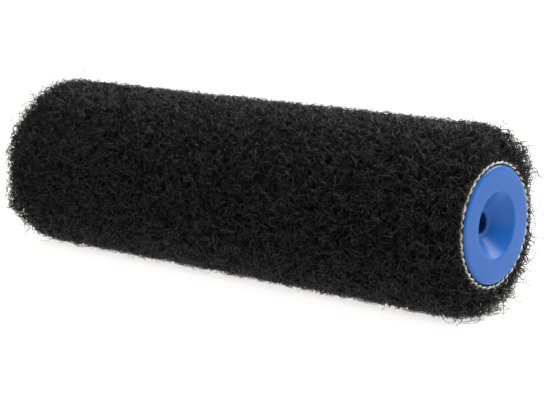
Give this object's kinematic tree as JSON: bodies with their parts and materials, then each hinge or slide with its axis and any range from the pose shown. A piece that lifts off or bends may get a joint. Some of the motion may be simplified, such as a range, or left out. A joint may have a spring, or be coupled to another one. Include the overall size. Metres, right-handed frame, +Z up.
{
  "type": "paint roller sleeve",
  "caption": "Long cylinder of curly pile on a stiff tube, closed at each end by a flat round cap with a funnel that leads a thin rod into its bore.",
  "frame": {"origin": "under the middle of the roller, on the surface it rests on", "axes": "the roller's axis is parallel to X, with the end seen in the picture at +X; +Z is up"},
  "size_m": [0.25, 0.0784, 0.0777],
  "materials": {
    "pile": "curly black nylon fibres, dull with fine highlights",
    "base_cloth": "off-white woven base cloth with frayed ends",
    "core": "natural extruded polypropylene",
    "cap": "blue moulded plastic, satin"
  },
  "bodies": {
    "root": {"pile": "pile", "base_cloth": "base_cloth", "core_tube": "core", "end_cap_right": "cap", "end_cap_left": "cap"}
  },
  "joints": []
}
